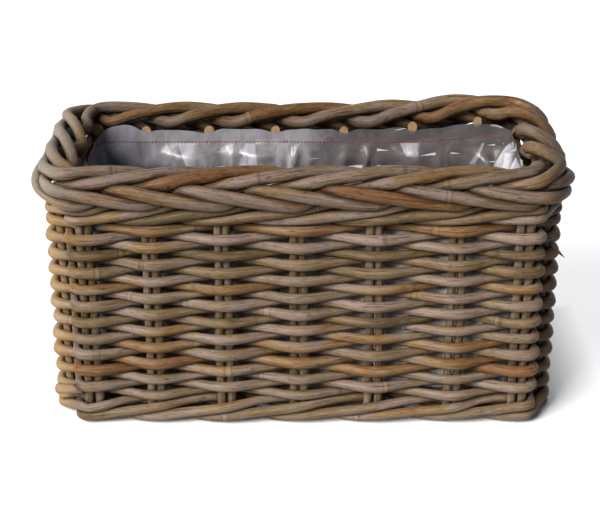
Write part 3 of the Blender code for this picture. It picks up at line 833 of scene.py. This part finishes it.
def bend(pair, lead):
    foot = stake_at(pair, lead, BASE)
    points = []
    for angle in map(math.radians, (0, 30, 60, 90)):
        spot = foot - out_of(pair) * BEND * (1 - math.cos(angle))
        points.append(np.array((spot[0], spot[1], BASE + BEND - BEND * math.sin(angle))))
    return points


def under_and_over(start, end):
    hx, _ = half(BASE)
    points = []
    for index, share in enumerate(FRONT):
        rise = -SWING if index % 2 == 0 else SWING
        for side in (-1, 1):
            points.append(np.array((share * hx + side * SHIFT, start[1], BASE + rise)))
    return points if start[0] < end[0] else points[::-1]


def make_stake(name, plain, tied, woven, seed):
    """A stake: from its plain end down one wall, under the base, up the other and along the border."""
    rng = random.Random(seed)
    down = bend(plain, -1)
    up = bend(tied, 1)[::-1]
    middle = under_and_over(down[-1], up[0]) if woven else [(down[-1] + up[0]) / 2]
    points = [stake_at(plain, -1, BORDER_Z), stake_at(plain, -1, BORDER_Z / 2)]
    points += down + middle + up + [stake_at(tied, 1, BORDER_Z / 2), stake_at(tied, 1, BORDER_Z - 0.008)]
    radii = [STAKE_SKIN_R] * len(points)
    talls = [1.0] * len(points)
    rod = BORDER_R * rng.uniform(*STRAND_SPREAD)
    for run, out, upward in STRAND:
        points.append(border_point(tied, run, out * PITCH, upward * PITCH))
        radii.append(rod if run > STRAND_FULL else STAKE_SKIN_R + (rod - STAKE_SKIN_R) * run)
        talls.append(STRAND_TALL if TALL_FROM < run < TALL_TO else 1.0)
    cane(name + "_rod", points, radii, name, "stake_rattan", seed, talls, 0.0005, STRAND_TONES[tied])


def make_stakes():
    for index in range(NF):
        back = BACK + NF - 1 - index
        make_stake(f"cross_stake_{index + 1}_right", back, index, False, 600 + index)
        make_stake(f"cross_stake_{index + 1}_left", index, back, False, 620 + index)
    for index in range(NS):
        right, left = NF + index, NP - 1 - index
        make_stake(f"long_stake_{index + 1}_back", left, right, True, 640 + index)
        make_stake(f"long_stake_{index + 1}_front", right, left, True, 660 + index)


def make_base_weavers():
    """Rods to and fro between the lengthwise stakes, under and over the crossing ones."""
    hx, hy = half(BASE)
    beside = SHIFT + STAKE_R + BASE_CLEARANCE
    pitch = 2 * BASE_WEAVER_R + BASE_GAP
    rows = [share * hy for share in SIDE]
    rows = [rows[0] - 2 * beside - pitch, *rows, rows[-1] + 2 * beside + pitch]
    for number, (low, high) in enumerate(zip(rows, rows[1:])):
        low, high = low + beside, high - beside
        runs = int((high - low) / pitch + 0.001)
        runs -= 1 - runs % 2
        points = []
        for run in range(runs):
            y = low + (high - low) / runs * (run + 0.5)
            line = [np.array((FRONT[0] * hx + beside + BASE_WEAVER_R, y, BASE))]
            for index in range(1, NF - 1):
                rise = BASE_RISE if (index % 2 == 0) == (run % 2 == 0) else -BASE_RISE
                line.append(np.array((FRONT[index] * hx, y, BASE + rise)))
            line.append(np.array((FRONT[-1] * hx - beside - BASE_WEAVER_R, y, BASE)))
            points += line if run % 2 == 0 else line[::-1]
        cane(f"base_rod_{number + 1}", points, [BASE_WEAVER_R] * len(points), f"base_weaver_{number + 1}",
             "base_rattan", 700 + number, 1.0, 0.0001)


# Liner: a pouch of thin film, creased and cloudy, with a stitched hem

def film_half(z):
    hx, hy = half(z)
    return hx - FILM_INSIDE, hy - FILM_INSIDE


FILM_ROUND = ring_length(*film_half(FILM_TOP), FILM_CORNER)


def on_film(place):
    """Point and direction angle at a place round the film's rim."""
    return on_ring(*film_half(FILM_TOP), FILM_CORNER, place)


def bell(value, middle, width):
    return math.exp(-((value - middle) / width) ** 2)


def film_edge(place, point):
    """Height of the film's edge: loosely wavy, and pressed down by the strands' cut ends at the back."""
    wave = sum(size * noise.noise(Vector((place * closeness, 0.0, row)))
               for size, closeness, row in EDGE_WAVES)
    press = sum(bell(point[0], x, PRESS_WIDTH) for x in CUT_ENDS) if point[1] > 0 else 0.0
    rise = 1.4 * max(0.0, read(BACK_RISE, point[0]))
    rise += sum(size * bell(point[0], middle, width) for size, middle, width in EDGE_RISES)
    return FILM_TOP + wave - PRESS_DEPTH * press + back_share(point) * rise


def hem_line(point):
    """Height of the stitches below the hem, which climb towards the right end."""
    return HEM_LINE + HEM_CLIMB * eased(ramped(point[0], *HEM_CLIMB_X))


def film_fold(point, z):
    """How far a spot of the film stands in, and how cloudy it is, from the listed folds."""
    push, cloud = 0.0, 0.0
    if point[1] > WALL_SHARE * film_half(z)[1]:
        for x, width, low, high, depth, haze in BACK_FOLDS:
            share = ramped(z, high, high - FOLD_FADE_TOP) * ramped(z, low, low + FOLD_FADE_FOOT)
            slant = x + FOLD_LEAN * (high - z) * (1 if depth > FOLD_RIGHT else -1)
            amount = share * bell(point[0], slant, width)
            push += depth * amount
            cloud = max(cloud, haze * amount)
    if point[0] > WALL_SHARE * film_half(z)[0]:
        middle, widens, width, depth, steep, steep_haze = END_FOLD
        amount = max(0.0, 1.0 - abs(point[1] - middle) / ((FILM_TOP - z) * widens + width))
        push += depth * min(1.0, steep * amount)
        cloud = max(cloud, min(1.0, steep_haze * amount))
    return push, cloud


def film_spot(place, z):
    """A spot of the film at a place round it and a height: where it is and its haze."""
    point, angle = on_film(place)
    below = hem_line(point) - z
    hem = below < 0
    loose = HEM_LOOSE if hem else min(1.0, HEM_LOOSE + below / LOOSE_OVER)
    spot = Vector((point[0], point[1], z))
    (billow, wide), (crease, close, close_up, row), (ripple, small) = BILLOW, CREASE, RIPPLE
    creased = noise.noise(Vector((spot.x * close, spot.y * close, spot.z * close_up + row)))
    creased = 1.0 - min(1.0, 2.6 * abs(creased))
    billowed = 0.5 + 0.5 * noise.noise(spot * wide)
    fold, cloud = film_fold(point, z)
    push = loose * (billow * billowed + crease * creased + ripple * noise.noise(spot * small))
    push += 0.0 if hem else fold
    haze = HAZE - HAZE_CLEARER * ramped(point[0], *CLEAR_X)
    haze += HEM_HAZE if hem else CREASE_HAZE * max(0.0, creased - 0.4) * loose
    deep = ramped(z, *LOW_Z)
    if point[1] < FRONT_Y:
        haze = max(haze, FRONT_HAZE * ramped(point[0], *FRONT_HAZE_X))
        deep = 0.0
    at_end = END_HAZE * ramped(point[0], *END_HAZE_X) * (1 - END_LOW * deep)
    haze = max(haze * (1 - deep) + LOW_HAZE * deep, cloud, at_end)
    return point - right_of(angle) * push + np.array((0, 0, z)), haze


def make_liner():
    columns = int(FILM_ROUND / FILM_STEP)
    rows = int((FILM_TOP - FILM_FLOOR) / FILM_STEP)
    verts, clouds = [], []
    for row in range(rows + 1):
        for column in range(columns):
            place = FILM_ROUND * column / columns
            edge = film_edge(place, on_film(place)[0])
            spot, haze = film_spot(place, edge + (FILM_FLOOR - edge) * row / rows)
            spot[2] = max(spot[2], FILM_FLOOR + 0.0004 * (1 + noise.noise(Vector(spot) * 40)))
            verts.append(spot)
            clouds.append(haze)
    hx, hy = film_half(FILM_FLOOR)
    inner = int(hy / FILM_RING_STEP)
    for step in range(1, inner + 1):
        inset = (hy - 0.001) * step / inner
        corner = max(0.0008, FILM_CORNER - inset)
        for column in range(columns):
            length = ring_length(hx - inset, hy - inset, corner)
            point, _ = on_ring(hx - inset, hy - inset, corner, length * column / columns)
            z = FILM_FLOOR + FLOOR_WAVE * (1 + noise.noise(Vector((point[0] * 30, point[1] * 30, 0))))
            verts.append(point + np.array((0, 0, z)))
            clouds.append(FLOOR_HAZE)
    faces = quads(np.arange(len(verts)).reshape(-1, columns))
    mesh = bpy.data.meshes.new("film_pouch")
    mesh.from_pydata([tuple(v) for v in verts], [], faces.tolist())
    put(mesh, "cloud", np.array(clouds, dtype=np.float32))
    shape = bmesh.new()
    shape.from_mesh(mesh)
    low = [edge for edge in shape.edges if edge.is_boundary and edge.verts[0].co.z < FILM_FLOOR + 0.01]
    bmesh.ops.holes_fill(shape, edges=low, sides=0)
    shape.to_mesh(mesh)
    shape.free()
    mesh.materials.append(FILM)
    mesh.shade_smooth()
    pouch = placed("film_pouch", mesh, "liner")


def finished(name, shape, material):
    mesh = bpy.data.meshes.new(name)
    shape.to_mesh(mesh)
    shape.free()
    mesh.materials.append(material)
    return mesh


def make_stitches():
    """Short stitches along the bottom of the hem, just inside the film."""
    count = int(FILM_ROUND / STITCH_PITCH)
    shape = bmesh.new()
    for number in range(count):
        point, _ = on_film(FILM_ROUND * number / count)
        if point[0] > CORNER_PATCH[0] - 0.001 and point[1] > CORNER_PATCH_Y[0]:
            continue
        ends = []
        for share, inward, _ in STITCH:
            place = FILM_ROUND * (number + share) / count
            point, angle = on_film(place)
            spot, _ = film_spot(place, hem_line(point) + STITCH_RISE)
            ends.append(Vector(spot - right_of(angle) * inward))
        along_it = (ends[2] - ends[0]).normalized()
        side = along_it.cross(Vector((0, 0, 1))).normalized()
        over = side.cross(along_it)
        rings = []
        for spot, (_, _, size) in zip(ends, STITCH):
            rings.append([shape.verts.new(spot + (side * math.cos(a) + over * math.sin(a)) * STITCH_R * size)
                          for a in (k * math.pi / 3 for k in range(6))])
        for one, two in zip(rings, rings[1:]):
            for k in range(6):
                shape.faces.new((one[k], one[(k + 1) % 6], two[(k + 1) % 6], two[k]))
        shape.faces.new(rings[0][::-1])
        shape.faces.new(rings[-1])
    bmesh.ops.recalc_face_normals(shape, faces=shape.faces)
    mesh = finished("hem_stitches", shape, THREAD)
    placed("hem_stitches", mesh, "liner_thread")


make_courses()
make_wale("foot", "foot_wale", BACK + 1, FOOT_WALE)
make_wale("rim", "top_wale", BACK + 3, TOP_WALE)
make_stakes()
make_base_weavers()
make_loose_ends()
shade_and_soil_creases()
CUT_ENDS = [cut_end(pair) for pair in range(NF - 1, BACK + NF - 4)]
make_liner()
make_stitches()


# Room, light and camera

def seen_directly(tree):
    """1 for the camera and for what it sees in a reflection or through something clear."""
    path = tree.nodes.new("ShaderNodeLightPath")
    mirrored = maths(tree, "MAXIMUM", path.outputs["Is Glossy Ray"], path.outputs["Is Transmission Ray"])
    return maths(tree, "MAXIMUM", path.outputs["Is Camera Ray"], mirrored)


def make_floor():
    """A plain pale floor that runs past the picture's edges."""
    material, tree, shader = nodes_of("floor_white")
    shader.inputs["Roughness"].default_value = 0.9
    where = coordinates(tree)
    seen = seen_directly(tree)
    beyond = [maths(tree, "SUBTRACT", maths(tree, "ABSOLUTE", axis), size)
              for axis, size in zip(axes_of(tree, where), (LENGTH / 2, DEPTH / 2))]
    away = spread(tree, maths(tree, "MAXIMUM", *beyond), 0.0, GLOW_FROM)
    patches = spread(tree, noise_of(tree, where, 3.0), 0.3, 0.7, 0.0, 0.3)
    colour = mixed(tree, "MIX", patches, (0.92, 0.92, 0.92), (0.90, 0.90, 0.91))
    colour = mixed(tree, "MULTIPLY", away, colour, (FLOOR_AWAY,) * 3)
    colour = mixed(tree, "MIX", seen, (FLOOR_BOUNCE,) * 3, colour)
    tree.links.new(colour, shader.inputs["Base Color"])
    tree.links.new(times(tree, seen, away, FLOOR_GLOW), shader.inputs["Emission Strength"])
    shape = bmesh.new()
    bmesh.ops.create_grid(shape, x_segments=1, y_segments=1, size=FLOOR_SIZE)
    linked("floor", finished("floor", shape, material))


def make_world():
    """Soft light all round, and white where the camera, a reflection or the film looks past the floor."""
    world = bpy.data.worlds.new("studio")
    bpy.context.scene.world = world
    world.use_nodes = True
    tree = world.node_tree
    towards_right = axes_of(tree, coordinates(tree, "Generated"))[0]
    around = mixed(tree, "MIX", spread(tree, towards_right, -0.9, 0.5), AMBIENT_LEFT, AMBIENT_RIGHT)
    colour = mixed(tree, "MIX", seen_directly(tree), around, (1.0, 1.0, 1.0))
    tree.links.new(colour, tree.nodes["Background"].inputs["Color"])


def add_lamp(heading_deg, height_deg, strength, spread_deg):
    """A broad lamp far off, to the left of the front and up."""
    data = bpy.data.lights.new("key", "SUN")
    data.energy = strength
    data.angle = math.radians(spread_deg)
    side, up = math.radians(heading_deg), math.radians(height_deg)
    away = Vector((-math.sin(side) * math.cos(up), -math.cos(side) * math.cos(up), math.sin(up)))
    linked("key", data).rotation_euler = away.to_track_quat("Z", "Y").to_euler()


def add_camera():
    data = bpy.data.cameras.new("camera")
    data.sensor_width = SENSOR
    data.lens = LENS
    camera = linked("camera", data)
    camera.location = CAMERA_SPOT
    camera.rotation_euler = (math.radians(90 - CAMERA_TILT), 0.0, 0.0)
    bpy.context.scene.camera = camera


make_floor()
make_world()
add_lamp(*KEY)
add_camera()
bpy.context.scene.view_settings.view_transform = "Standard"
